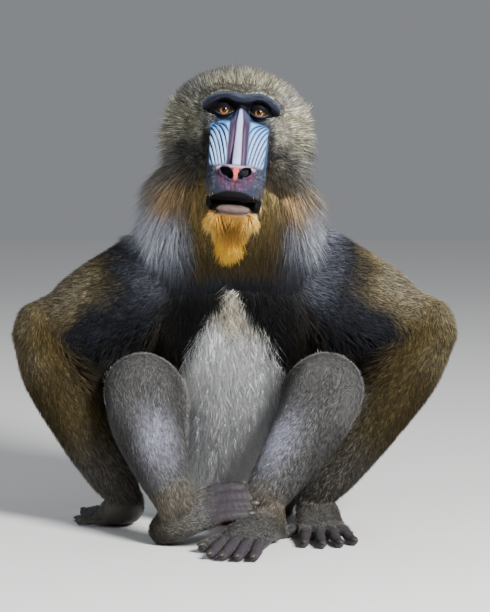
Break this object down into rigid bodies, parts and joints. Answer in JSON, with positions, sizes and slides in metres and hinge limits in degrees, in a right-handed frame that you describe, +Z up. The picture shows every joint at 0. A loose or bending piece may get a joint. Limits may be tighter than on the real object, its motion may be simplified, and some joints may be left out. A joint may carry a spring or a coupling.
{
  "type": "mandrill",
  "caption": "Life-size seated mandrill, upright with knees raised, feet crossed in front, hands flat on the floor and elbows turned out.",
  "frame": {"origin": "the point of the floor under the rump, on the flat that the torso rests on", "axes": "+Z up, -Y the way the face looks, +X towards the animal's left"},
  "size_m": [0.5866, 0.4778, 0.6146],
  "materials": {
    "olive_coat": "short speckled hair, olive brown with gold tips",
    "grey_coat": "short speckled hair, grey brown",
    "crown_coat": "dense upright hair, pale olive grey; the bare face is blue and lilac",
    "mantle_coat": "long soft hair, charcoal with silvery blue-grey sides",
    "beard_coat": "long straight hair, golden orange; the bare lip is tan pink",
    "hand_skin": "dry creased skin with sparse grey hair",
    "pad_skin": "smooth hard skin, rose and lilac",
    "eye": "wet and glossy, an amber iris round a black pupil"
  },
  "bodies": {
    "root": {"ear_left": "hand_skin", "ear_right": "hand_skin", "eye_left": "eye", "eye_right": "eye", "foot_left": "hand_skin", "foot_right": "hand_skin", "forearm_left": "olive_coat", "forearm_right": "olive_coat", "hand_left": "hand_skin", "hand_right": "hand_skin", "head": "crown_coat", "lower_jaw": "beard_coat", "lower_leg_left": "grey_coat", "lower_leg_right": "grey_coat", "neck": "mantle_coat", "sitting_pad_left": "pad_skin", "sitting_pad_right": "pad_skin", "tail": "grey_coat", "thigh_left": "grey_coat", "thigh_right": "grey_coat", "torso": "olive_coat", "upper_arm_left": "olive_coat", "upper_arm_right": "olive_coat"}
  },
  "joints": []
}
